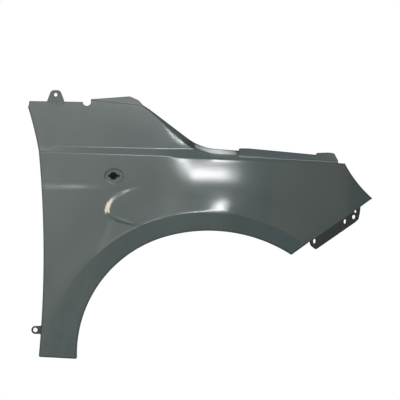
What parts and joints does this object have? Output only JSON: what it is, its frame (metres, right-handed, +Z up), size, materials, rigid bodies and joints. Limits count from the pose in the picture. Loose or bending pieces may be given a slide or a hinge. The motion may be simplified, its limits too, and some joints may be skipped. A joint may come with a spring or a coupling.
{
  "type": "car front fender",
  "caption": "Right-hand front car fender pressed from sheet steel, with a wheel arch, waist step, side lamp seat with a plugged hole, bolt flanges and two welded rear brackets.",
  "frame": {"origin": "on the inboard face of the rear upper bracket's tab, 9.5 mm below the middle of its bolt hole", "axes": "+X forward along the car, +Y inboard away from the painted side, +Z up"},
  "size_m": [0.9112, 0.1732, 0.7003],
  "materials": {
    "panel_primer": "satin grey-green primer",
    "bracket_primer": "satin blue-grey primer",
    "plug_rubber": "matte black moulded rubber"
  },
  "bodies": {
    "root": {"fender_panel": "panel_primer", "rear_upper_bracket": "bracket_primer", "rear_lower_bracket": "panel_primer", "side_lamp_plug": "plug_rubber"}
  },
  "joints": []
}
